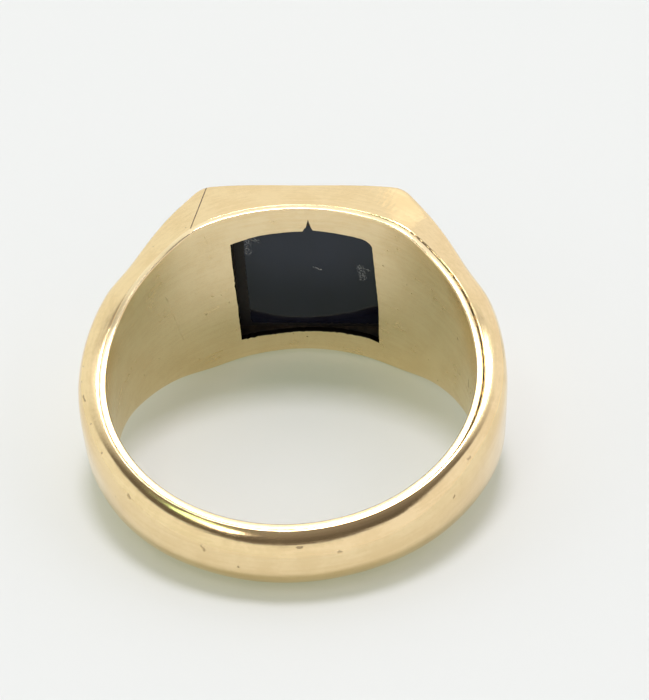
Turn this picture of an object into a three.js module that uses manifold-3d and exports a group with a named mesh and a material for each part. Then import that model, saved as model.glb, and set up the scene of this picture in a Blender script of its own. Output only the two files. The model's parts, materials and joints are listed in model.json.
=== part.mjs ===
// A gentleman's signet ring with a flat onyx tablet, lying on its side edge.
//
// The ring is drawn in its own axes first: x to the right, y from the finger's centre up to
// the table, z along the finger. Angles go round the finger from the middle of the table.
// The finished group is then tipped over to lie on its lower edge, in millimetres, +Z up,
// with its origin under the centre of its bounding box.
//
// An outer shell (shank and shoulders) and a head frame are struck from thin gold sheet as an
// open channel, and a plain liner sleeve closes the channel on the finger side. Inside the head a
// box collet holds the tablet on a bearing ledge, behind a window cut in the liner.

import * as THREE from 'three';
import { LoftGeometry } from 'three/addons/geometries/LoftGeometry.js';
import { mergeVertices } from 'three/addons/utils/BufferGeometryUtils.js';
import Module from 'manifold-3d';

// Driving dimensions, mm and degrees.
const FINGER_RADIUS = 9.9;          // 19.8 mm inside diameter
const LINER_WALL = 0.38;
const SHELL_WALL = 0.45;
const JOINT_GAP = 0.03;             // clearance between soldered or cemented pieces

const TABLE_HEIGHT = 12.27;         // finger centre to the table
const FLANK_DISTANCE = 11.92;       // finger centre to the straight shoulder flank
const FLANK_ANGLE = 54.2;           // direction of the flank's normal, from the table's normal
const CORNER_ROUNDING = 0.6;        // how softly the table turns into the flank

const SEAM_X_TABLE = 5.5;           // head-to-shoulder joint, at the table
const SEAM_X_RIM = 6.0;             // the same joint, at the finger-hole rim
const SEAM_Y_RIM = 8.7;
const SOLDER_WIDTH = 0.12;

const STONE_LENGTH = 9.7;
const STONE_WIDTH = 8.8;
const STONE_BACK = 10.7;            // finger centre to the flat back of the tablet
const STONE_BEVEL = 0.2;
const STONE_CORNER = 0.35;
const COLLET_WALL = 0.3;
const CEMENT_THICKNESS = 0.1;
const LEDGE_FOOT = 9.5;             // finger centre to the underside of the ledge's ends

// The hand-cut window behind the stone: [x, z] of its four corners, and the notch in its upper
// edge where the liner's butt seam has opened.
const WINDOW_CORNERS = [[-3.9, -4.1], [4.4, -3.95], [4.18, 3.95], [-4.02, 3.62]];
const NOTCH_CORNERS = [[0.15, 3.7], [0.72, 3.7], [0.66, 4.1], [0.47, 4.8], [0.25, 4.2]];

// The frame under the stone: its opening follows the window, and the cement reaches further in
// at the left.
const LEDGE_OPENING = { left: -4.06, right: 4.44, upper: 3.99, lower: -4.14 };
const CEMENT_OPENING = { left: -3.43, right: 4.44, upper: 3.99, lower: -4.0 };

const REST_TILT = 11.3;             // the ring lies on the head's rim and the rim of the shank

const ANGLE_STEP = 5;
const DOME_STEPS = 6;

// How the band changes round the finger, from the table (0) to the back of the shank (180):
// angle, half-width at the finger hole, crown radius past the flank, how much each side leans
// in for 1 mm outward, the squareness of the domed section (2 is an ellipse), and the width of
// the flat side strip outward from the finger hole.
const STATIONS = [
  { angle: 0, halfWidth: 5.57, crown: 12.27, lean: 0.06, squareness: 60, strip: 0.58 },
  { angle: 20, halfWidth: 5.58, crown: 12.7, lean: 0.06, squareness: 60, strip: 0.58 },
  { angle: 35, halfWidth: 5.5, crown: 12.75, lean: 0.16, squareness: 36, strip: 0.58 },
  { angle: 50, halfWidth: 4.78, crown: 11.95, lean: 0.21, squareness: 9.8, strip: 0.58 },
  { angle: 66, halfWidth: 4.05, crown: 11.91, lean: 0.13, squareness: 6, strip: 0.58 },
  { angle: 78, halfWidth: 3.43, crown: 11.7, lean: 0.06, squareness: 6.5, strip: 0.58 },
  { angle: 92, halfWidth: 2.9, crown: 11.6, lean: 0, squareness: 5.2, strip: 0.56 },
  { angle: 120, halfWidth: 2.32, crown: 11.43, lean: 0, squareness: 3, strip: 0.5 },
  { angle: 150, halfWidth: 1.92, crown: 11.66, lean: 0, squareness: 2.05, strip: 0.46 },
  { angle: 180, halfWidth: 1.8, crown: 11.71, lean: 0, squareness: 2.05, strip: 0.46 },
];

const wasm = await Module();
wasm.setup();

const linerRadius = FINGER_RADIUS + LINER_WALL;
const shellRadius = linerRadius + JOINT_GAP;
const deg = THREE.MathUtils.degToRad;

// A value from STATIONS at any angle, on a smooth curve through the stations.
function station(key, angle) {
  const a = Math.abs(angle);
  let i = 0;
  while (i < STATIONS.length - 2 && a > STATIONS[i + 1].angle) i += 1;
  const slope = (k) => {
    const from = STATIONS[Math.max(k - 1, 0)];
    const to = STATIONS[Math.min(k + 1, STATIONS.length - 1)];
    const ends = k === 0 || k === STATIONS.length - 1;
    return ends ? 0 : (to[key] - from[key]) / (to.angle - from.angle);
  };
  const p = STATIONS[i];
  const q = STATIONS[i + 1];
  const span = q.angle - p.angle;
  const t = (a - p.angle) / span;
  const rise = (3 - 2 * t) * t * t;
  return p[key] * (1 - rise) + q[key] * rise
    + slope(i) * span * t * (1 - t) * (1 - t) - slope(i + 1) * span * t * t * (1 - t);
}

// The crown's distance from the finger centre: flat table, straight flank, then the shank.
function crownRadius(angle) {
  const a = Math.abs(angle);
  if (a > 50) return station('crown', a);
  const table = TABLE_HEIGHT / Math.cos(deg(a));
  const flank = FLANK_DISTANCE / Math.cos(deg(a - FLANK_ANGLE));
  const overlap = THREE.MathUtils.clamp(0.5 + 0.5 * (flank - table) / CORNER_ROUNDING, 0, 1);
  const blended = THREE.MathUtils.lerp(flank, table, overlap);
  return blended - CORNER_ROUNDING * overlap * (1 - overlap);
}

// Half of the band's outline at one angle, from the crown down to the side strip,
// moved inward by inset. Each point is { r: distance from the finger centre, z: half-width }.
// The dome is the part of a superellipse outside the strip.
function halfSection(angle, inset) {
  const halfWidth = station('halfWidth', angle);
  const lean = station('lean', angle);
  const squareness = station('squareness', angle);
  const strip = station('strip', angle) + inset / 2;
  const dome = crownRadius(angle) - inset - FINGER_RADIUS;
  const cornerTurn = Math.acos((strip / dome) ** (squareness / 2));
  const points = [];
  for (let k = 0; k <= DOME_STEPS; k += 1) {
    const turn = cornerTurn * (k / DOME_STEPS);
    const up = Math.cos(turn) ** (2 / squareness);
    const out = (Math.sin(turn) / Math.sin(cornerTurn)) ** (2 / squareness);
    const r = FINGER_RADIUS + dome * up;
    points.push({ r, z: (halfWidth - lean * (r - FINGER_RADIUS) - inset) * out });
  }
  points.push({ r: shellRadius, z: halfWidth - lean * LINER_WALL - inset });
  return points;
}

// Both halves of an outline, from the lower side face over the crown to the upper one.
function bothHalves(half) {
  const lower = half.slice(1).reverse().map(({ r, z }) => ({ r, z: -z }));
  return [...lower, ...half];
}

// Lofts a closed outline, given for each angle, once round the finger.
function ringLoft(outlineAt) {
  const sections = [];
  for (let angle = -180; angle <= 180; angle += ANGLE_STEP) {
    const turn = deg(angle === 180 ? -180 : angle);
    sections.push(outlineAt(angle).map(({ r, z }) => (
      new THREE.Vector3(r * Math.sin(turn), r * Math.cos(turn), z))));
  }
  return new LoftGeometry(sections);
}

function toSolid(geometry) {
  const bare = new THREE.BufferGeometry().copy(geometry);
  bare.deleteAttribute('normal');
  bare.deleteAttribute('uv');
  const merged = mergeVertices(bare, 1e-5);
  return new wasm.Manifold(new wasm.Mesh({
    numProp: 3,
    vertProperties: new Float32Array(merged.attributes.position.array),
    triVerts: new Uint32Array(merged.index.array),
  }));
}

function toGeometry(solid) {
  const { vertProperties, triVerts } = solid.getMesh();
  const geometry = new THREE.BufferGeometry();
  geometry.setAttribute('position', new THREE.BufferAttribute(vertProperties, 3));
  geometry.setIndex(new THREE.BufferAttribute(triVerts, 1));
  const faceted = geometry.toNonIndexed();
  faceted.computeVertexNormals();
  return faceted;
}

// A rectangle in the x-z plane at height y, with rounded corners, as a loft section.
function rectangleAt(y, length, width, corner) {
  const points = [];
  const middles = [[1, -1], [1, 1], [-1, 1], [-1, -1]];
  middles.forEach(([sx, sz], quarter) => {
    for (let k = 0; k <= 3; k += 1) {
      const turn = deg(-90 + 90 * quarter + 30 * k);
      points.push(new THREE.Vector3(
        sx * (length / 2 - corner) + corner * Math.cos(turn),
        y,
        sz * (width / 2 - corner) + corner * Math.sin(turn)));
    }
  });
  return points.reverse();
}

// A block standing on its rectangles, each given as [y, length, width, corner].
function block(...levels) {
  const sections = levels.map((level) => rectangleAt(...level));
  return toSolid(new LoftGeometry(sections, { capStart: true, capEnd: true }));
}

// A straight-sided prism through the head along y, from an outline of [x, z] corners.
function prismThroughHead(corners, from, to) {
  const shape = new THREE.Shape(corners.map(([x, z]) => new THREE.Vector2(x, z)));
  const geometry = new THREE.ExtrudeGeometry(shape, { depth: to - from, bevelEnabled: false });
  geometry.rotateX(Math.PI / 2);
  geometry.translate(0, to, 0);
  return toSolid(geometry);
}

// A prism along the finger, from an outline of [x, y] corners.
function prismAlongFinger(corners) {
  const length = 20;
  const shape = new THREE.Shape(corners.map(([x, y]) => new THREE.Vector2(x, y)));
  const geometry = new THREE.ExtrudeGeometry(shape, { depth: length, bevelEnabled: false });
  geometry.translate(0, 0, -length / 2);
  return toSolid(geometry);
}

// The head's region between its two leaning joints, widened each side by widen.
function headRegion(widen) {
  const slope = (SEAM_X_RIM - SEAM_X_TABLE) / (TABLE_HEIGHT - SEAM_Y_RIM);
  const xAt = (y) => SEAM_X_TABLE + (TABLE_HEIGHT - y) * slope + widen;
  const low = 4;
  const high = 16;
  return prismAlongFinger([
    [-xAt(low), low], [xAt(low), low], [xAt(high), high], [-xAt(high), high]]);
}

function cylinderRound(radius) {
  const length = 20;
  const geometry = new THREE.CylinderGeometry(radius, radius, length, 360 / ANGLE_STEP);
  geometry.rotateX(Math.PI / 2);
  return toSolid(geometry);
}

// The struck gold sheet as one open channel, before it is parted at the head.
function goldChannel() {
  return toSolid(ringLoft((angle) => [
    ...bothHalves(halfSection(angle, 0)),
    ...bothHalves(halfSection(angle, SHELL_WALL)).reverse(),
  ]));
}

function innerLiner() {
  const sleeve = toSolid(ringLoft((angle) => {
    const z = station('halfWidth', angle);
    return [
      { r: FINGER_RADIUS, z: -z },
      { r: linerRadius, z: -z + station('lean', angle) * LINER_WALL },
      { r: linerRadius, z: z - station('lean', angle) * LINER_WALL },
      { r: FINGER_RADIUS, z },
    ];
  }));
  const window = prismThroughHead(WINDOW_CORNERS, 5, 12);
  const notch = prismThroughHead(NOTCH_CORNERS, 5, 12);
  return sleeve.subtract(window).subtract(notch);
}

// The box that holds the tablet: outside size is the tablet plus a wall all round.
const colletLength = STONE_LENGTH + 2 * (JOINT_GAP + COLLET_WALL);
const colletWidth = STONE_WIDTH + 2 * (JOINT_GAP + COLLET_WALL);

function colletHole() {
  return block(
    [TABLE_HEIGHT - 3, colletLength + 2 * JOINT_GAP, colletWidth + 2 * JOINT_GAP, STONE_CORNER],
    [TABLE_HEIGHT + 3, colletLength + 2 * JOINT_GAP, colletWidth + 2 * JOINT_GAP, STONE_CORNER]);
}

function onyxTablet() {
  const bevel = 2 * STONE_BEVEL;
  return block(
    [STONE_BACK, STONE_LENGTH, STONE_WIDTH, STONE_CORNER],
    [TABLE_HEIGHT - STONE_BEVEL, STONE_LENGTH, STONE_WIDTH, STONE_CORNER],
    [TABLE_HEIGHT, STONE_LENGTH - bevel, STONE_WIDTH - bevel, STONE_CORNER - STONE_BEVEL / 2]);
}

function stoneCollet() {
  const foot = 7;
  const grow = 2 * JOINT_GAP;
  const bevel = 2 * STONE_BEVEL;
  const lipStart = TABLE_HEIGHT - STONE_BEVEL - JOINT_GAP;
  const wall = block(
    [foot, colletLength, colletWidth, STONE_CORNER],
    [TABLE_HEIGHT, colletLength, colletWidth, STONE_CORNER]);
  const pocket = block(
    [foot - 1, STONE_LENGTH + grow, STONE_WIDTH + grow, STONE_CORNER],
    [lipStart, STONE_LENGTH + grow, STONE_WIDTH + grow, STONE_CORNER],
    [TABLE_HEIGHT, STONE_LENGTH + grow - bevel, STONE_WIDTH + grow - bevel, STONE_CORNER / 2],
    [TABLE_HEIGHT + 1, STONE_LENGTH + grow - bevel, STONE_WIDTH + grow - bevel, STONE_CORNER / 2]);
  return wall.subtract(pocket).subtract(cylinderRound(linerRadius + 2 * JOINT_GAP));
}

// A flat frame inside the collet, from one height to another, with an opening through it.
function frameUnderStone(from, to, opening) {
  const { left, right, upper, lower } = opening;
  const outer = block(
    [from, STONE_LENGTH, STONE_WIDTH, STONE_CORNER],
    [to, STONE_LENGTH, STONE_WIDTH, STONE_CORNER]);
  const corners = [[left, lower], [right, lower], [right, upper], [left, upper]];
  return outer.subtract(prismThroughHead(corners, from - 1, to + 1));
}

function bearingLedge() {
  const top = STONE_BACK - CEMENT_THICKNESS - 2 * JOINT_GAP;
  return frameUnderStone(LEDGE_FOOT, top, LEDGE_OPENING)
    .subtract(cylinderRound(linerRadius + 2 * JOINT_GAP));
}

function settingCement() {
  const top = STONE_BACK - JOINT_GAP;
  return frameUnderStone(top - CEMENT_THICKNESS, top, CEMENT_OPENING);
}

const GOLD = { color: '#ecd3a2', roughness: 0.3, metalness: 1 };
const LINER_GOLD = { color: '#dcc294', roughness: 0.34, metalness: 1 };
const SOLDER = { color: '#cdb07a', roughness: 0.45, metalness: 1 };
const ONYX = { color: '#14161b', roughness: 0.08, metalness: 0 };
const CEMENT = { color: '#2b2926', roughness: 0.6, metalness: 0 };

const ring = new THREE.Group();

function addPiece(name, solid, finish) {
  const mesh = new THREE.Mesh(toGeometry(solid), new THREE.MeshStandardMaterial(finish));
  mesh.name = name;
  ring.add(mesh);
}

const channel = goldChannel();
const wholeHead = headRegion(0);
const headInsideSolder = headRegion(-SOLDER_WIDTH / 2 - JOINT_GAP);
const headWithSolder = headRegion(SOLDER_WIDTH / 2 + JOINT_GAP);
const solderBand = headRegion(SOLDER_WIDTH / 2).subtract(headRegion(-SOLDER_WIDTH / 2));
const solderSeams = channel.intersect(solderBand).decompose();

addPiece('shank_shell', channel.subtract(headWithSolder), GOLD);
addPiece('head_frame', channel.intersect(headInsideSolder).subtract(colletHole()), GOLD);
addPiece('inner_liner', innerLiner(), LINER_GOLD);
addPiece('stone_collet', stoneCollet(), GOLD);
addPiece('bearing_ledge', bearingLedge(), LINER_GOLD);
addPiece('setting_cement', settingCement(), CEMENT);
addPiece('onyx_tablet', onyxTablet(), ONYX);
solderSeams.forEach((seam) => {
  const side = seam.boundingBox().min[0] < 0 ? 'left' : 'right';
  addPiece(`solder_seam_${side}`, seam, SOLDER);
});

// Lay the ring down on its lower edge and centre it over the origin.
ring.rotation.x = deg(REST_TILT);
ring.updateMatrixWorld(true);
const box = new THREE.Box3().setFromObject(ring, true);
ring.position.set(-(box.min.x + box.max.x) / 2, -(box.min.y + box.max.y) / 2, -box.min.z);

const model = new THREE.Group();
model.add(ring);

export default model;
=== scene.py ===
import json
import math

import bmesh
import bpy
import numpy as np
from mathutils import Matrix, Vector


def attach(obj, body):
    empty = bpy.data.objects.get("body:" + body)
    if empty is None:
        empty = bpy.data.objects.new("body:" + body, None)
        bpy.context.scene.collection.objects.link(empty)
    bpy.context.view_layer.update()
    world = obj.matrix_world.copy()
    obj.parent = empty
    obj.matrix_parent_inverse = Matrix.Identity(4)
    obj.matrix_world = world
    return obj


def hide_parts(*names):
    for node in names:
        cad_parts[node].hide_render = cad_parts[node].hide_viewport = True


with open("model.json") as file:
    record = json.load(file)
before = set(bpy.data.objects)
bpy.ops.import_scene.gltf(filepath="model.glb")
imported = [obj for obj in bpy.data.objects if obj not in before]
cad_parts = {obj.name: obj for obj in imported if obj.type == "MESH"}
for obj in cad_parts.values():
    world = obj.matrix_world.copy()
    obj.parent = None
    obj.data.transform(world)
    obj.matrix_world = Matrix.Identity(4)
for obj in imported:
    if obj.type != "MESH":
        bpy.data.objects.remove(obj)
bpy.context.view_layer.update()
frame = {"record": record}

# A gold signet ring with a flat onyx tablet, lying on its side edge. Lengths are millimetres in
# the ring's own axes (x right, y from the finger's centre to the table, z along the finger),
# and place() turns them into the frame's metres. Angles go round the finger from the table.

FINGER_RADIUS = 9.9
LINER_WALL = 0.38
SHELL_WALL = 0.45
TABLE_HEIGHT = 12.27
FLANK_DISTANCE = 11.92
FLANK_ANGLE = 54.2
CORNER_ROUNDING = 0.6

SEAM_X_TABLE = 5.5
SEAM_X_RIM = 6.0
SEAM_Y_RIM = 8.7
SOLDER_WIDTH = 0.07

STONE_LENGTH = 9.7
STONE_WIDTH = 8.8
STONE_BACK = 10.55
STONE_BEVEL = 0.2
STONE_CORNER = 0.35
COLLET_WALL = 0.3
COLLET_FOOT = 7                 # below the liner; the bore takes the rest away
LEDGE_FOOT = 8.6
CEMENT_THICKNESS = 0.08
SLIP = 0.02                     # clearance between pieces that lie against each other

# The hand-cut window in the liner, as (x, z) from its upper left corner round to the right, and
# the notch in its upper edge where the liner's butt seam has opened.
WINDOW_TOP = [(-4, 3.6), (-2.5, 3.8), (0.1, 3.9)]
WINDOW_NOTCH = [(0.2, 4.1), (0.3, 4.2), (0.45, 4.8), (0.6, 4.2), (0.7, 4)]
WINDOW_RIGHT = [(1.7, 3.95), (3.6, 3.9), (3.9, 3.8), (4.1, 3.5), (4.4, -1), (4.4, -4)]
WINDOW_BOTTOM = [(3.8, -3.9), (-2.2, -4.15), (-3.9, -4.05)]
WINDOW_LEFT = [(-3.9, -3.2), (-4, 2.3)]

# The frame under the stone opens a little wider than the window; its cement reaches further in at
# the left, a black strip put there as painted shade for the dark band along the stone's left
# side.
LEDGE_OPENING = [(-4.06, -4.14), (4.43, -4.14), (4.43, 3.96), (-4.06, 3.96)]
CEMENT_RIGHT = [(4.43, 3.96), (4.43, -4.0)]
CEMENT_SHADE_LEFT = -3.43

STATION_KEYS = ("angle", "half_width", "crown", "lean", "squareness", "strip")
STATIONS = np.array([
    (0, 5.57, 12.27, 0.06, 60, 0.58),
    (20, 5.58, 12.7, 0.06, 60, 0.58),
    (35, 5.5, 12.75, 0.16, 36, 0.58),
    (50, 4.78, 11.95, 0.21, 9.8, 0.58),
    (66, 4.05, 11.91, 0.13, 6, 0.58),
    (78, 3.43, 11.7, 0.06, 6.5, 0.58),
    (92, 2.9, 11.6, 0, 5.2, 0.56),
    (120, 2.32, 11.43, 0, 3, 0.5),
    (150, 1.92, 11.66, 0, 2.05, 0.46),
    (180, 1.8, 11.71, 0, 2.05, 0.46),
])

LINER_RADIUS = FINGER_RADIUS + LINER_WALL
THROUGH_LINER = (5, 12)         # the heights between which the window and the opening are cut
THROUGH_HEAD = (5, 13)

mount = frame["record"]["mounts"][0]
table_normal = Vector(mount["axis"])
tilt = math.atan2(table_normal.z, table_normal.y)
ring_centre = Vector(mount["pos_m"]) - table_normal * TABLE_HEIGHT / 1000
to_frame = (Matrix.Translation(ring_centre) @ Matrix.Rotation(tilt, 4, "X")
            @ Matrix.Scale(0.001, 4))
chance = np.random.default_rng(7)


# ---------------------------------------------------------------- the ring's outline

def station(key, angle):
    """A dimension from STATIONS at any angle, on a smooth curve through the stations."""
    column = STATION_KEYS.index(key)
    angles, values = STATIONS[:, 0], STATIONS[:, column]
    a = abs(angle)
    i = int(min(max(np.searchsorted(angles, a) - 1, 0), len(angles) - 2))
    slopes = np.zeros(len(angles))
    slopes[1:-1] = (values[2:] - values[:-2]) / (angles[2:] - angles[:-2])
    span = angles[i + 1] - angles[i]
    t = (a - angles[i]) / span
    rise = (3 - 2 * t) * t * t
    return (values[i] * (1 - rise) + values[i + 1] * rise
            + slopes[i] * span * t * (1 - t) ** 2 - slopes[i + 1] * span * t * t * (1 - t))


def crown_radius(angle):
    """Finger centre to the crown: flat table, straight flank, then the shank."""
    a = abs(angle)
    if a > 50:
        return station("crown", a)
    table = TABLE_HEIGHT / math.cos(math.radians(a))
    flank = FLANK_DISTANCE / math.cos(math.radians(a - FLANK_ANGLE))
    overlap = min(max(0.5 + 0.5 * (flank - table) / CORNER_ROUNDING, 0), 1)
    blended = flank + (table - flank) * overlap
    return blended - CORNER_ROUNDING * overlap * (1 - overlap)


def resample(points, count):
    """The same open line with its points evenly spaced along it."""
    points = np.asarray(points, float)
    steps = np.linalg.norm(np.diff(points, axis=0), axis=1)
    along = np.concatenate([[0], np.cumsum(steps)])
    wanted = np.linspace(0, along[-1], count)
    return np.stack([np.interp(wanted, along, points[:, k]) for k in (0, 1)], axis=1)


def half_section(angle, inset, count):
    """Crown to side strip at one angle, as (radius, half-width) pairs, moved in by inset."""
    half_width = station("half_width", angle)
    lean = station("lean", angle)
    square = station("squareness", angle)
    strip = station("strip", angle) + inset / 2
    dome = crown_radius(angle) - inset - FINGER_RADIUS
    corner_turn = math.acos((strip / dome) ** (square / 2))
    turn = np.linspace(0, corner_turn, 181)
    up = np.cos(turn) ** (2 / square)
    out = (np.sin(turn) / math.sin(corner_turn)) ** (2 / square)
    r = FINGER_RADIUS + dome * up
    z = (half_width - lean * (r - FINGER_RADIUS) - inset) * out
    line = np.stack([r, z], axis=1)
    corner = int(np.argmax(up + out))       # the shoulder of the curve stays one crisp edge
    crown = resample(line[:corner + 1], count // 2 + 1)
    side = resample(line[corner:], count - count // 2)
    return np.concatenate([crown[:-1], side])


def joint_openness(angle):
    """How far the joint between liner and shell shows: open down the right, closed elsewhere."""
    rise = min(max((angle - 2) / 34, 0), 1)
    fall = min(max((128 - angle) / 25, 0), 1)
    return (rise * fall) ** 2 * (3 - 2 * rise * fall)


def shell_section(angle):
    """The closed outline of the struck channel at one angle."""
    openness = joint_openness(angle)
    rim_round = 0.03 + 0.09 * openness
    gap = 0.008 + 0.022 * openness * (1 + 0.6 * math.sin(angle * 2.9) * math.sin(angle * 7.3))
    lip_radius = LINER_RADIUS + gap
    lip = station("half_width", angle) - station("lean", angle) * LINER_WALL
    turn = np.linspace(0, math.pi / 2, 6)
    rim = np.stack([lip_radius + rim_round * (1 - np.sin(turn)),
                    lip - rim_round * (1 - np.cos(turn))], axis=1)
    outside = np.concatenate([half_section(angle, 0, 48), rim])
    inside = half_section(angle, SHELL_WALL, 14)
    foot = np.array([[lip_radius, inside[-1, 1]]])
    inside = np.concatenate([inside, foot])
    mirror = np.array([1, -1])
    outer = np.concatenate([(outside[1:] * mirror)[::-1], outside])
    inner = np.concatenate([(inside[1:] * mirror)[::-1], inside])
    return np.concatenate([outer, inner[::-1]])


def liner_section(angle):
    """The closed outline of the liner sleeve at one angle, with softened edges."""
    z = station("half_width", angle)
    inner_round = 0.1
    outer_round = 0.03 + 0.06 * joint_openness(angle)
    turn = np.linspace(0, math.pi / 2, 6)
    inner = np.stack([FINGER_RADIUS + inner_round * (1 - np.cos(turn)),
                      z - inner_round * (1 - np.sin(turn))], axis=1)
    outer = np.stack([LINER_RADIUS - outer_round * (1 - np.sin(turn)),
                      z - outer_round * (1 - np.cos(turn))], axis=1)
    edge = np.concatenate([inner, outer])
    side = np.linspace(-1, 1, 9)[1:-1] * (z - inner_round)
    bore = np.stack([np.full(7, FINGER_RADIUS), side], axis=1)
    return np.concatenate([bore, edge, (edge * np.array([1, -1]))[::-1]])


def ring_angles():
    """One step per degree, finer round the head's corners."""
    fine = np.arange(18, 46, 0.5)
    coarse = np.concatenate([np.arange(0, 18, 1), np.arange(46, 180, 1)])
    half = np.sort(np.concatenate([fine, coarse]))
    return np.concatenate([-half[::-1][:-1], half, [180]])


# ---------------------------------------------------------------- mesh helpers

def place(points):
    """Ring millimetres to frame metres."""
    points = np.asarray(points, float)
    matrix = np.array(to_frame)
    return points @ matrix[:3, :3].T + matrix[:3, 3]


def new_object(name, points, faces):
    mesh = bpy.data.meshes.new(name)
    mesh.from_pydata(place(points).tolist(), [], faces)
    mesh.validate()
    thing = bpy.data.objects.new(name, mesh)
    bpy.context.scene.collection.objects.link(thing)
    recalculate_normals(thing)
    return thing


def recalculate_normals(thing):
    work = bmesh.new()
    work.from_mesh(thing.data)
    bmesh.ops.recalc_face_normals(work, faces=work.faces)
    work.to_mesh(thing.data)
    work.free()


def grid_faces(rows, columns, wrap_rows):
    faces = []
    for i in range(rows if wrap_rows else rows - 1):
        for j in range(columns):
            a, b = i * columns + j, i * columns + (j + 1) % columns
            c = ((i + 1) % rows) * columns + (j + 1) % columns
            d = ((i + 1) % rows) * columns + j
            faces.append((a, b, c, d))
    return faces


def ring_loft(name, section_at):
    """A closed outline, given for each angle, carried once round the finger."""
    points = []
    angles = ring_angles()
    for angle in angles:
        turn = math.radians(angle)
        section = section_at(angle)
        points.append(np.stack([section[:, 0] * math.sin(turn),
                                section[:, 0] * math.cos(turn), section[:, 1]], axis=1))
    columns = len(points[0])
    faces = grid_faces(len(angles), columns, True)
    return new_object(name, np.concatenate(points), faces)


def rounded_rectangle(y, length, width, corner, steps=6):
    points = []
    for quarter, (sx, sz) in enumerate([(1, -1), (1, 1), (-1, 1), (-1, -1)]):
        for k in range(steps + 1):
            turn = math.radians(-90 + 90 * quarter + 90 * k / steps)
            points.append((sx * (length / 2 - corner) + corner * math.cos(turn), y,
                           sz * (width / 2 - corner) + corner * math.sin(turn)))
    return points


def capped_loft(name, sections):
    """A solid through outlines that all have the same number of points."""
    columns = len(sections[0])
    faces = grid_faces(len(sections), columns, False)
    faces.append(tuple(range(columns)))
    last = (len(sections) - 1) * columns
    faces.append(tuple(range(last, last + columns)))
    return new_object(name, np.concatenate([np.asarray(s, float) for s in sections]), faces)


def block(name, *levels):
    """A block standing on rounded rectangles, each (y, length, width, corner)."""
    return capped_loft(name, [rounded_rectangle(*level) for level in levels])


def prism_through_head(name, corners, low, high):
    return capped_loft(name, [[(x, y, z) for x, z in corners] for y in (low, high)])


def cylinder(name, radius, half_length=10, steps=360):
    turn = np.linspace(0, 2 * math.pi, steps, endpoint=False)
    circle = [np.stack([radius * np.sin(turn), radius * np.cos(turn),
                        np.full(steps, z)], axis=1) for z in (-half_length, half_length)]
    return capped_loft(name, circle)


def cut(thing, *cutters):
    """Cuts thing by each cutter and throws the cutters away."""
    for cutter in cutters:
        modifier = thing.modifiers.new("cut", "BOOLEAN")
        modifier.operation = "DIFFERENCE"
        modifier.solver = "EXACT"
        modifier.object = cutter
    depsgraph = bpy.context.evaluated_depsgraph_get()
    result = bpy.data.meshes.new_from_object(thing.evaluated_get(depsgraph))
    thing.modifiers.clear()
    thing.data = result
    for cutter in cutters:
        bpy.data.objects.remove(cutter)


def keep_side(thing, x, y, normal_x, normal_y):
    """Cuts thing by a plane along the finger and keeps what lies behind the plane's normal."""
    work = bmesh.new()
    work.from_mesh(thing.data)
    point = to_frame @ Vector((x, y, 0))
    normal = to_frame.to_3x3().normalized() @ Vector((normal_x, normal_y, 0))
    everything = list(work.verts) + list(work.edges) + list(work.faces)
    found = bmesh.ops.bisect_plane(work, geom=everything, plane_co=point, plane_no=normal,
                                   clear_outer=True, dist=1e-8)
    rim = [e for e in found["geom_cut"] if isinstance(e, bmesh.types.BMEdge)]
    bmesh.ops.triangle_fill(work, edges=rim, use_beauty=True)
    bmesh.ops.recalc_face_normals(work, faces=work.faces)
    work.to_mesh(thing.data)
    work.free()


def copy_of(thing, name):
    twin = bpy.data.objects.new(name, thing.data.copy())
    bpy.context.scene.collection.objects.link(twin)
    return twin


def smooth(thing, angle=32):
    thing.data.polygons.foreach_set("use_smooth", [True] * len(thing.data.polygons))
    thing.data.set_sharp_from_angle(angle=math.radians(angle))
    thing.data.update()


def finish_piece(thing, node, material):
    smooth(thing)
    thing.data.materials.clear()
    thing.data.materials.append(material)
    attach(thing, "root")
    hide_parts(node)


# ---------------------------------------------------------------- shader helpers

class Shading:
    """Builds a node tree: numbers go in as numbers, sockets are linked."""

    def __init__(self, tree):
        self.tree = tree

    def add(self, kind, inputs=(), **settings):
        made = self.tree.nodes.new(kind)
        for key, value in settings.items():
            setattr(made, key, value)
        for key, value in dict(inputs).items():
            self.feed(made.inputs[key], value)
        return made

    def feed(self, socket, value):
        if isinstance(value, bpy.types.NodeSocket):
            self.tree.links.new(value, socket)
        else:
            socket.default_value = value

    def maths(self, operation, *values, clamp=False):
        made = self.add("ShaderNodeMath", operation=operation, use_clamp=clamp)
        for socket, value in zip(made.inputs, values):
            self.feed(socket, value)
        return made.outputs[0]

    def vector(self, operation, *values):
        made = self.add("ShaderNodeVectorMath", operation=operation)
        for socket, value in zip(made.inputs, values):
            self.feed(socket, value)
        return made.outputs["Value" if operation in ("LENGTH", "DOT_PRODUCT") else "Vector"]

    def ramp(self, value, low, high, to_low=0.0, to_high=1.0):
        """A soft step from to_low at low to to_high at high."""
        made = self.add("ShaderNodeMapRange", interpolation_type="SMOOTHSTEP")
        for socket, number in zip(made.inputs, (value, low, high, to_low, to_high)):
            self.feed(socket, number)
        return made.outputs[0]

    def noise(self, vector, scale, detail=3.0, roughness=0.5):
        made = self.add("ShaderNodeTexNoise", {
            "Vector": vector, "Scale": scale, "Detail": detail, "Roughness": roughness})
        return made.outputs["Fac"]

    def mix(self, amount, first, second):
        made = self.add("ShaderNodeMix", data_type="RGBA")
        colours = [s for s in made.inputs if s.type == "RGBA"]
        self.feed(made.inputs[0], amount)
        self.feed(colours[0], first)
        self.feed(colours[1], second)
        return [s for s in made.outputs if s.type == "RGBA"][0]

    def combine(self, x, y, z):
        made = self.add("ShaderNodeCombineXYZ", {"X": x, "Y": y, "Z": z})
        return made.outputs[0]

    def split(self, vector):
        made = self.add("ShaderNodeSeparateXYZ", {"Vector": vector})
        return made.outputs[0], made.outputs[1], made.outputs[2]


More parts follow.
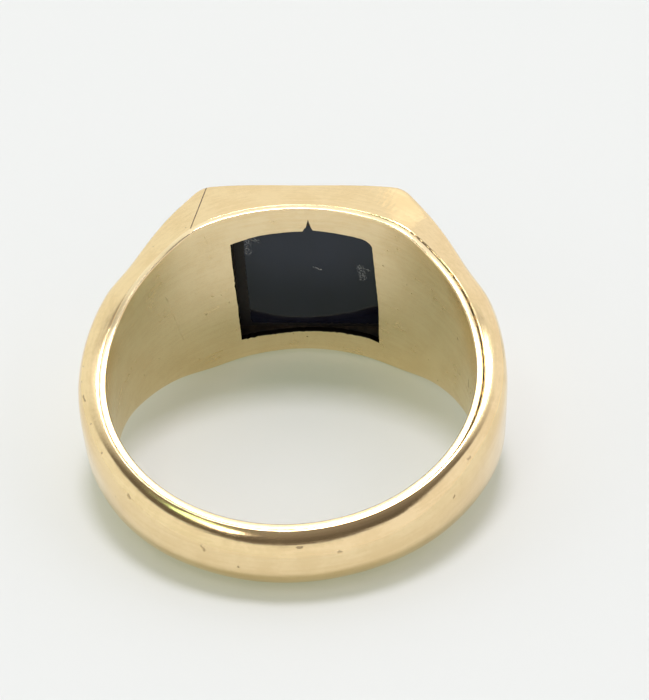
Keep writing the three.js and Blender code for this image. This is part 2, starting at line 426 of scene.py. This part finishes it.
def ring_millimetres(s):
    """Object coordinates turned back into ring millimetres."""
    place_at = s.add("ShaderNodeTexCoord").outputs["Object"]
    back = Matrix.Rotation(-tilt, 3, "X") @ (ring_centre * 1000)
    made = s.add("ShaderNodeMapping", {
        "Vector": place_at, "Location": -back, "Rotation": (-tilt, 0, 0),
        "Scale": (1000, 1000, 1000)})
    return made.outputs[0]


def mark(s, spot, start, end, width):
    """A soft-edged stroke from start to end, 1 on the stroke and 0 off it."""
    start, end = Vector(start), Vector(end)
    along = end - start
    offset = s.vector("SUBTRACT", spot, start)
    if along.length > 0:
        share = s.vector("DOT_PRODUCT", offset, along / along.length_squared)
        share = s.maths("ADD", share, 0.0, clamp=True)
        nearest = s.vector("MULTIPLY", s.combine(share, share, share), along)
        offset = s.vector("SUBTRACT", offset, nearest)
    return s.ramp(s.vector("LENGTH", offset), width, width * 0.35)


def marks(s, spot, strokes):
    """The union of several strokes (start, end, width, strength), with ragged edges."""
    shake = s.noise(spot, 5.0, 1.0)
    ragged = s.vector("ADD", spot, s.vector("MULTIPLY", s.combine(shake, shake, shake),
                                            (0.16, 0.16, 0.16)))
    ragged = s.vector("SUBTRACT", ragged, (0.08, 0.08, 0.08))
    union = None
    for start, end, width, strength in strokes:
        this = s.maths("MULTIPLY", mark(s, ragged, start, end, width), strength)
        union = this if union is None else s.maths("MAXIMUM", union, this)
    return union


def principled(name):
    material = bpy.data.materials.new(name)
    material.use_nodes = True
    return material, Shading(material.node_tree), material.node_tree.nodes["Principled BSDF"]


# ---------------------------------------------------------------- materials

SHELL_GOLD = ((0.91, 0.715, 0.42, 1), (0.85, 0.65, 0.365, 1))
# The liner's gold is the shell's gold made lighter: painted light standing in for the light that
# reaches the inside of the ring.
LIT_LINER_GOLD = ((0.96, 0.79, 0.51, 1), (0.91, 0.725, 0.445, 1))
TARNISH = (0.22, 0.14, 0.07, 1)
# A dark colour for grime in the opened joint and for painted shade on the window's walls.
GRIME_AND_SHADE = (0.035, 0.025, 0.015, 1)
ONYX_BLACK = (0.008, 0.008, 0.016, 1)
ONYX_BLUE = (0.011, 0.012, 0.024, 1)
DRIED = (0.26, 0.27, 0.28, 1)


# Soft limits, each (nothing here, full here). The window's wall carries painted shade above
# WALL_FOOT and as far out along the finger as WALL_END; the joint is open between two angles in
# radians.
PIT_EDGE = (0.06, 0.025)
WALL_FOOT = (8.2, 8.4)
WALL_END = (4.95, 4.9)
JOINT_EDGE = (0.05, 0.02)
JOINT_START = (0.15, 0.6)
JOINT_END = (2.2, 1.7)


def gold(name, colours, roughness, streak_height, strokes):
    """Polished, worn gold: fine streaks round the finger, haze, pits, dirt in the strokes,
    painted shade on the window's walls.
    """
    material, s, shader = principled(name)
    shader.inputs["Metallic"].default_value = 1
    spot = ring_millimetres(s)
    x, y, z = s.split(spot)
    angle = s.maths("ARCTAN2", x, y)
    radius = s.maths("SQRT", s.maths("ADD", s.maths("MULTIPLY", x, x),
                                     s.maths("MULTIPLY", y, y)))
    arc = s.maths("MULTIPLY", angle, 10.0)

    # Streaks: long and thin round the finger, with a shorter cross grain on the crown.
    lengthwise = s.combine(s.maths("MULTIPLY", arc, 0.3), s.maths("MULTIPLY", radius, 6.0),
                           s.maths("MULTIPLY", z, 6.0))
    streaks = s.noise(lengthwise, 1.0, 2.0, 0.55)
    crosswise = s.combine(s.maths("MULTIPLY", arc, 5.0), radius, s.maths("MULTIPLY", z, 0.6))
    grain = s.noise(crosswise, 1.0, 2.0, 0.6)
    grain = s.maths("MULTIPLY", grain, s.ramp(radius, 10.9, 11.4))

    haze = s.noise(spot, 0.6, 2.0, 0.5)
    fine = s.noise(spot, 4.0, 2.0, 0.6)
    pits = s.add("ShaderNodeTexVoronoi", {"Vector": spot, "Scale": 0.9, "Randomness": 1.0})
    pit = s.ramp(pits.outputs["Distance"], *PIT_EDGE)
    worn = marks(s, spot, strokes)
    damage = s.maths("MAXIMUM", s.maths("MULTIPLY", pit, 0.5), worn)

    # Painted shade: the walls of the window cut through the liner are darkened as shade in the
    # recess.
    painted_wall_shade = s.maths("MULTIPLY", s.ramp(radius, FINGER_RADIUS + 0.03, FINGER_RADIUS + 0.07),
                      s.ramp(y, *WALL_FOOT))
    painted_wall_shade = s.maths("MULTIPLY", painted_wall_shade, s.ramp(s.maths("ABSOLUTE", z), *WALL_END))
    painted_wall_shade = s.maths("MULTIPLY", painted_wall_shade, s.ramp(radius, LINER_RADIUS + 0.04, LINER_RADIUS))

    # A broken dark line where the joint between liner and shell has opened, down the right.
    off_joint = s.maths("ABSOLUTE", s.maths("SUBTRACT", radius, LINER_RADIUS + 0.015))
    in_joint = s.maths("MULTIPLY", s.ramp(off_joint, *JOINT_EDGE),
                       s.ramp(angle, *JOINT_START))
    in_joint = s.maths("MULTIPLY", in_joint, s.ramp(angle, *JOINT_END))
    in_joint = s.maths("MULTIPLY", in_joint, s.ramp(s.noise(spot, 2.6, 2.0), 0.4, 0.5))
    grime_and_shade = s.maths("MAXIMUM", painted_wall_shade, in_joint)

    uneven = s.maths("ADD", s.maths("MULTIPLY", haze, 0.5), s.maths("MULTIPLY", fine, 0.2))
    uneven = s.maths("ADD", uneven, s.maths("MULTIPLY", streaks, 0.3))
    rough = s.ramp(uneven, 0.36, 0.66, *roughness)
    rough = s.maths("ADD", rough, s.maths("MULTIPLY", damage, 0.25))
    s.feed(shader.inputs["Roughness"], rough)

    tone = s.mix(s.ramp(uneven, 0.38, 0.62), *colours)
    tone = s.mix(s.maths("MULTIPLY", damage, 0.65), tone, TARNISH)
    s.feed(shader.inputs["Base Color"], s.mix(grime_and_shade, tone, GRIME_AND_SHADE))

    height = s.maths("ADD", streaks, s.maths("MULTIPLY", grain, 2.2))
    height = s.maths("ADD", height, s.maths("MULTIPLY", fine, 0.5))
    height = s.maths("SUBTRACT", height, s.maths("MULTIPLY", damage, 2.5))
    bump = s.add("ShaderNodeBump", {"Height": height, "Distance": streak_height * 0.001,
                                    "Strength": 1.0})
    s.feed(shader.inputs["Normal"], bump.outputs[0])
    return material


def dull(name, colour, other, roughness, scale):
    """A matt surface with an uneven colour and a grainy relief."""
    material, s, shader = principled(name)
    spot = ring_millimetres(s)
    patches = s.noise(spot, scale, 4.0, 0.6)
    s.feed(shader.inputs["Base Color"], s.mix(s.ramp(patches, 0.35, 0.65), colour, other))
    s.feed(shader.inputs["Roughness"], s.ramp(patches, 0.3, 0.7, *roughness))
    bump = s.add("ShaderNodeBump", {"Height": patches, "Distance": 0.00003, "Strength": 0.7})
    s.feed(shader.inputs["Normal"], bump.outputs[0])
    return material


def polished_onyx(name):
    """Black onyx: a clean polish with faint haze, and dried smears on its back."""
    material, s, shader = principled(name)
    shader.inputs["IOR"].default_value = 1.54
    shader.inputs["Specular Tint"].default_value = (0.74, 0.87, 1, 1)
    spot = ring_millimetres(s)
    haze = s.noise(spot, 0.8, 3.0, 0.5)
    cloud = s.noise(spot, 14.0, 4.0, 0.7)
    smears = marks(s, spot, [
        ((0.5, STONE_BACK, 0.56), (0.74, STONE_BACK, 0.5), 0.08, 1.6),
        ((0.7, STONE_BACK, 0.5), (1.05, STONE_BACK, 0.36), 0.06, 1.3),
        ((-3.25, STONE_BACK, 2.6), (-3.2, STONE_BACK, 1.7), 0.28, 0.8),
        ((-2.9, STONE_BACK, 2.75), (-2.6, STONE_BACK, 2.55), 0.2, 0.8),
        ((3.3, STONE_BACK, 0.55), (3.45, STONE_BACK, -0.3), 0.3, 1.0),
        ((3.6, STONE_BACK, 0.5), (3.85, STONE_BACK, 0.3), 0.12, 1.4)])
    dried = s.maths("MULTIPLY", smears, s.ramp(cloud, 0.47, 0.62))
    tone = s.mix(s.ramp(haze, 0.3, 0.7), ONYX_BLACK, ONYX_BLUE)
    tone = s.mix(dried, tone, DRIED)
    s.feed(shader.inputs["Base Color"], tone)
    rough = s.ramp(haze, 0.3, 0.7, 0.1, 0.16)
    s.feed(shader.inputs["Roughness"], s.maths("ADD", rough, s.maths("MULTIPLY", dried, 0.4)))
    ripple = s.noise(s.vector("MULTIPLY", spot, (1.0, 1.0, 0.15)), 5.0, 3.0)
    bump = s.add("ShaderNodeBump", {"Height": ripple, "Distance": 0.0000015, "Strength": 1.0})
    s.feed(shader.inputs["Normal"], bump.outputs[0])
    return material


# Single marks: dings and scratches, given one by one, (start, end, width, strength). A place is
# (degrees round the band from the table, mm across from its middle).
SHELL_MARKS = [
    ((-85, 1.5), (-90, 2.8), 0.07, 0.8),
    ((-95, 2.6), (-95, 2.6), 0.08, 0.8),
    ((-100, 2.5), (-102, 2.5), 0.08, 0.9),
    ((-110, 2.3), (-110, 2.3), 0.08, 0.7),
    ((-120, 2), (-120, 2), 0.1, 1),
    ((-135, 1.5), (-136, 1.4), 0.09, 0.8),
    ((-160, 1), (-161, 0.8), 0.08, 0.8),
    ((-170, 0.3), (-170, 0.3), 0.1, 0.9),
    ((175, 1.4), (174, 1.4), 0.08, 0.7),
    ((165, 1), (164, 1), 0.08, 0.8),
    ((130, 1), (130, 1), 0.1, 0.9),
    ((120, 2), (121, 2), 0.1, 0.7),
    ((85, 2.8), (80, 3), 0.06, 0.5),
]
LINER_MARKS = [
    ((-35, -1), (-35, -1), 0.08, 0.9),
    ((0, -4.5), (0, -4.5), 0.09, 1),
    ((65, 1), (65, 1), 0.1, 1),
    ((-50, 2), (-45, -2), 0.03, 0.45),
    ((75, -0.5), (76, -1), 0.07, 0.9),
]


def on_band(radius, angle, across):
    turn = math.radians(angle)
    return (radius * math.sin(turn), radius * math.cos(turn), across)


def on_shell(angle, across):
    section = half_section(angle, 0, 60)
    return on_band(np.interp(across, section[:, 1], section[:, 0]), angle, across)


def on_liner(angle, across):
    return on_band(FINGER_RADIUS, angle, across)


def strokes(listed, surface):
    return [(surface(*start), surface(*end), width, strength)
            for start, end, width, strength in listed]


gold_shell = gold("gold_shell", SHELL_GOLD, (0.11, 0.19), 0.004, strokes(SHELL_MARKS, on_shell))
gold_liner = gold("gold_liner", LIT_LINER_GOLD, (0.2, 0.28), 0.002, strokes(LINER_MARKS, on_liner))
# The ledge's gold is painted near black: painted shade for the ledge lying deep in the pocket
# under the stone.
painted_shade_gold = dull("painted_shade_gold", (0.007, 0.006, 0.005, 1), (0.04, 0.028, 0.017, 1),
                  (0.35, 0.6), 3.0)
solder = dull("solder", (0.10, 0.065, 0.035, 1), (0.26, 0.18, 0.09, 1), (0.45, 0.7), 6.0)
onyx = polished_onyx("onyx")
cement = dull("cement", (0.004, 0.004, 0.004, 1), (0.013, 0.01, 0.009, 1), (0.5, 0.75), 5.0)


# ---------------------------------------------------------------- pieces

seam_slope = (SEAM_X_RIM - SEAM_X_TABLE) / (TABLE_HEIGHT - SEAM_Y_RIM)


def cut_at_seam(thing, side, offset, keep_head):
    """Parts the channel at one leaning head joint (side is -1 left or 1 right)."""
    outward = 1 if keep_head else -1
    keep_side(thing, side * (SEAM_X_TABLE + offset), TABLE_HEIGHT,
              side * outward, seam_slope * outward)


def head_space(widen):
    """Everything between the two leaning head joints."""
    def x_at(y):
        return SEAM_X_TABLE + widen + (TABLE_HEIGHT - y) * seam_slope
    corners = [(-x_at(2), 2), (x_at(2), 2), (x_at(16), 16), (-x_at(16), 16)]
    return capped_loft("head_space", [[(x, y, z) for x, y in corners] for z in (-10, 10)])


def make_gold_shell():
    channel = ring_loft("channel", shell_section)
    half = SOLDER_WIDTH / 2

    head = copy_of(channel, "head")
    for side in (-1, 1):
        cut_at_seam(head, side, -half, True)
    keep_side(head, 0, 2, 0, -1)
    hole = block("hole", *[(y, STONE_LENGTH + 2 * COLLET_WALL, STONE_WIDTH + 2 * COLLET_WALL,
                            STONE_CORNER) for y in (TABLE_HEIGHT - 3, TABLE_HEIGHT + 3)])
    cut(head, hole)
    finish_piece(head, "head_frame", gold_shell)

    for side, name, finish in ((-1, "left", solder), (1, "right", gold_shell)):
        seam = copy_of(channel, f"seam_{name}")
        cut_at_seam(seam, side, half, True)
        cut_at_seam(seam, side, -half, False)
        keep_side(seam, 0, 2, 0, -1)
        finish_piece(seam, f"solder_seam_{name}", finish)

    # The shank and shoulders are what is left outside both joints.
    channel.name = "shank"
    cut(channel, head_space(half))
    finish_piece(channel, "shank_shell", gold_shell)


def ragged(points, spacing, amount):
    """The same line with more points on it, each a little out of place."""
    points = np.array(points, float)
    length = np.linalg.norm(np.diff(points, axis=0), axis=1).sum()
    line = resample(points, int(length / spacing))
    line[1:-1] += chance.normal(0, amount, (len(line) - 2, 2))
    return [tuple(p) for p in line]


def make_liner():
    liner = ring_loft("liner", liner_section)
    outline = (ragged(WINDOW_TOP, 0.25, 0.006) + WINDOW_NOTCH
               + ragged(WINDOW_RIGHT, 0.25, 0.008)
               + ragged(WINDOW_BOTTOM, 0.13, 0.022)
               + ragged(WINDOW_LEFT, 0.2, 0.012))
    cut(liner, prism_through_head("window", outline, *THROUGH_LINER))
    finish_piece(liner, "inner_liner", gold_liner)


def make_tablet():
    bevel = 2 * STONE_BEVEL
    tablet = block("tablet",
                   (STONE_BACK, STONE_LENGTH, STONE_WIDTH, STONE_CORNER),
                   (TABLE_HEIGHT - STONE_BEVEL, STONE_LENGTH, STONE_WIDTH, STONE_CORNER),
                   (TABLE_HEIGHT, STONE_LENGTH - bevel, STONE_WIDTH - bevel,
                    STONE_CORNER - STONE_BEVEL / 2))
    finish_piece(tablet, "onyx_tablet", onyx)


def make_collet():
    outer = (STONE_LENGTH + 2 * COLLET_WALL - SLIP, STONE_WIDTH + 2 * COLLET_WALL - SLIP)
    inner = (STONE_LENGTH + SLIP, STONE_WIDTH + SLIP)
    bevel = 2 * STONE_BEVEL
    collet = block("collet", *[(y, *outer, STONE_CORNER) for y in (COLLET_FOOT, TABLE_HEIGHT)])
    pocket = block("pocket", (COLLET_FOOT - 1, *inner, STONE_CORNER),
                   (TABLE_HEIGHT - STONE_BEVEL, *inner, STONE_CORNER),
                   (TABLE_HEIGHT, inner[0] - bevel, inner[1] - bevel, STONE_CORNER / 2),
                   (TABLE_HEIGHT + 1, inner[0] - bevel, inner[1] - bevel, STONE_CORNER / 2))
    cut(collet, pocket, cylinder("bore", LINER_RADIUS + SLIP))
    finish_piece(collet, "stone_collet", gold_shell)


def make_ledge_and_cement():
    size = (STONE_LENGTH - SLIP, STONE_WIDTH - SLIP, STONE_CORNER)
    cement_foot = STONE_BACK - CEMENT_THICKNESS
    ledge = block("ledge", (LEDGE_FOOT, *size), (cement_foot, *size))
    cut(ledge, prism_through_head("opening", LEDGE_OPENING, *THROUGH_HEAD),
        cylinder("bore", LINER_RADIUS + SLIP))
    finish_piece(ledge, "bearing_ledge", painted_shade_gold)
    bed = block("bed", (cement_foot, *size), (STONE_BACK, *size))
    # The cement's left edge sits further in as painted shade.
    left_edge = [(CEMENT_SHADE_LEFT, -3.7), (CEMENT_SHADE_LEFT - 0.03, 0), (CEMENT_SHADE_LEFT, 3.96)]
    lower_edge = [(4.3, -3.98), (0, -3.96), (CEMENT_SHADE_LEFT + 0.1, -3.94)]
    inner_edge = ragged(left_edge, 0.2, 0.02) + CEMENT_RIGHT + ragged(lower_edge, 0.15, 0.03)
    cut(bed, prism_through_head("opening", inner_edge, *THROUGH_HEAD))
    finish_piece(bed, "setting_cement", cement)


make_gold_shell()
make_liner()
make_tablet()
make_collet()
make_ledge_and_cement()


# ---------------------------------------------------------------- camera, floor and light

CAMERA_ELEVATION = 44.7         # above the ring's own middle plane
CAMERA_AZIMUTH = -4.98
CAMERA_ROLL = -3.06
CAMERA_DISTANCE = 94.13
CAMERA_AIM = (-1.702, -2.962)   # where the middle of the view falls, right and up
LENS = 88.46


def make_camera():
    e, a = math.radians(CAMERA_ELEVATION), math.radians(CAMERA_AZIMUTH)
    roll = math.radians(CAMERA_ROLL)
    ahead = Vector((math.sin(a) * math.cos(e), math.cos(a) * math.cos(e), -math.sin(e)))
    right = Vector((math.cos(a), -math.sin(a), 0))
    up = right.cross(ahead)
    across = right * math.cos(roll) + up * math.sin(roll)
    upward = up * math.cos(roll) - right * math.sin(roll)
    spot = -ahead * CAMERA_DISTANCE - across * CAMERA_AIM[0] - upward * CAMERA_AIM[1]
    turn = to_frame.to_3x3().normalized()
    basis = Matrix([turn @ across, turn @ upward, turn @ -ahead]).transposed()
    lens = bpy.data.cameras.new("camera")
    lens.sensor_width = 36
    lens.lens = LENS
    lens.clip_start = 0.001
    lens.clip_end = 10
    camera = bpy.data.objects.new("camera", lens)
    camera.matrix_world = Matrix.Translation(to_frame @ spot) @ basis.to_4x4()
    bpy.context.scene.collection.objects.link(camera)
    bpy.context.scene.camera = camera


# The floor's colour leans violet so that, with the green glow, it reads pale and even where lit.
FLOOR_PALE = (0.635, 0.62, 0.7, 1)
FLOOR_WARM = (0.65, 0.63, 0.705, 1)
FLOOR_GLOW = (0.78, 1, 0.52, 1)         # painted light: a faint green glow, the same all over, that lifts the shadows and tints them green
GLOW_STRENGTH = 0.15
FLOOR_HALF = 1.5                # metres

# The studio round the ring, painted on the sky. Azimuth 0 is towards the viewer and 90 to the
# right; a lamp is (azimuth, elevation, radius in degrees, colour).
ROOM_LEFT = (0.95, 0.965, 0.91, 1)
ROOM_RIGHT = (0.97, 0.955, 0.95, 1)
SHADE_LOW = (0.12, 0.1, 0.085, 1)       # a dark zone over the ring, on the viewer's side
SHADE_HIGH = (0.27, 0.24, 0.22, 1)
SHADE_FOOT = (37, 43)                   # the elevations it begins between
SHADE_BACK = (0.4, 0.12)                # where it ends towards the back, on the unit sky
SHADE_RIGHT = (0.65, 0.55)              # and towards the right
LAMP_EDGE = (1.1, 0.85)                 # a lamp fades between these shares of its radius
LAMPS = [
    (180, 70, 18, (1.0, 1.0, 0.98, 1)),
    (180, 78, 8.5, (21, 21, 21, 1)),
    (-56, 63.5, 5.5, (2.4, 3.5, 1.8, 1)),
    (-42, 62, 4.5, (7, 6.6, 6, 1)),
    (164, 45, 7, (1.25, 1.22, 1.15, 1)),
]


def make_floor():
    mesh = bpy.data.meshes.new("floor")
    far = FLOOR_HALF
    corners = [(-far, -far, 0), (far, -far, 0), (far, far, 0), (-far, far, 0)]
    mesh.from_pydata(corners, [], [(0, 1, 2, 3)])
    floor = bpy.data.objects.new("floor", mesh)
    material, s, shader = principled("floor")
    at = s.add("ShaderNodeTexCoord").outputs["Object"]
    cloud = s.noise(at, 30.0, 3.0)
    s.feed(shader.inputs["Base Color"], s.mix(cloud, FLOOR_PALE, FLOOR_WARM))
    shader.inputs["Roughness"].default_value = 0.7
    shader.inputs["Emission Color"].default_value = FLOOR_GLOW
    shader.inputs["Emission Strength"].default_value = GLOW_STRENGTH
    floor.data.materials.append(material)
    bpy.context.scene.collection.objects.link(floor)


def make_world():
    world = bpy.data.worlds.new("studio")
    bpy.context.scene.world = world
    world.use_nodes = True
    s = Shading(world.node_tree)
    background = world.node_tree.nodes["Background"]
    x, y, z = s.split(s.add("ShaderNodeTexCoord").outputs["Generated"])
    elevation = s.maths("DEGREES", s.maths("ARCSINE", z))

    back = s.maths("ADD", y, s.maths("MULTIPLY", s.maths("ABSOLUTE", x), 0.25))
    shade = s.maths("MULTIPLY", s.ramp(elevation, *SHADE_FOOT), s.ramp(back, *SHADE_BACK))
    shade = s.maths("MULTIPLY", shade, s.ramp(x, *SHADE_RIGHT))
    shade_colour = s.mix(s.ramp(elevation, 45, 80), SHADE_LOW, SHADE_HIGH)
    room = s.mix(s.ramp(x, -0.8, 0.8), ROOM_LEFT, ROOM_RIGHT)
    light = s.mix(shade, room, shade_colour)
    for azimuth, height, radius, colour in LAMPS:
        flat = math.cos(math.radians(height))
        centre = Vector((math.sin(math.radians(azimuth)) * flat,
                         -math.cos(math.radians(azimuth)) * flat,
                         math.sin(math.radians(height))))
        close = s.vector("DOT_PRODUCT", s.combine(x, y, z), centre)
        near = s.ramp(close, *[math.cos(math.radians(radius * share)) for share in LAMP_EDGE])
        light = s.mix(near, light, colour)
    s.feed(background.inputs["Color"], light)


make_camera()
make_floor()
make_world()
bpy.context.scene.view_settings.view_transform = "Standard"
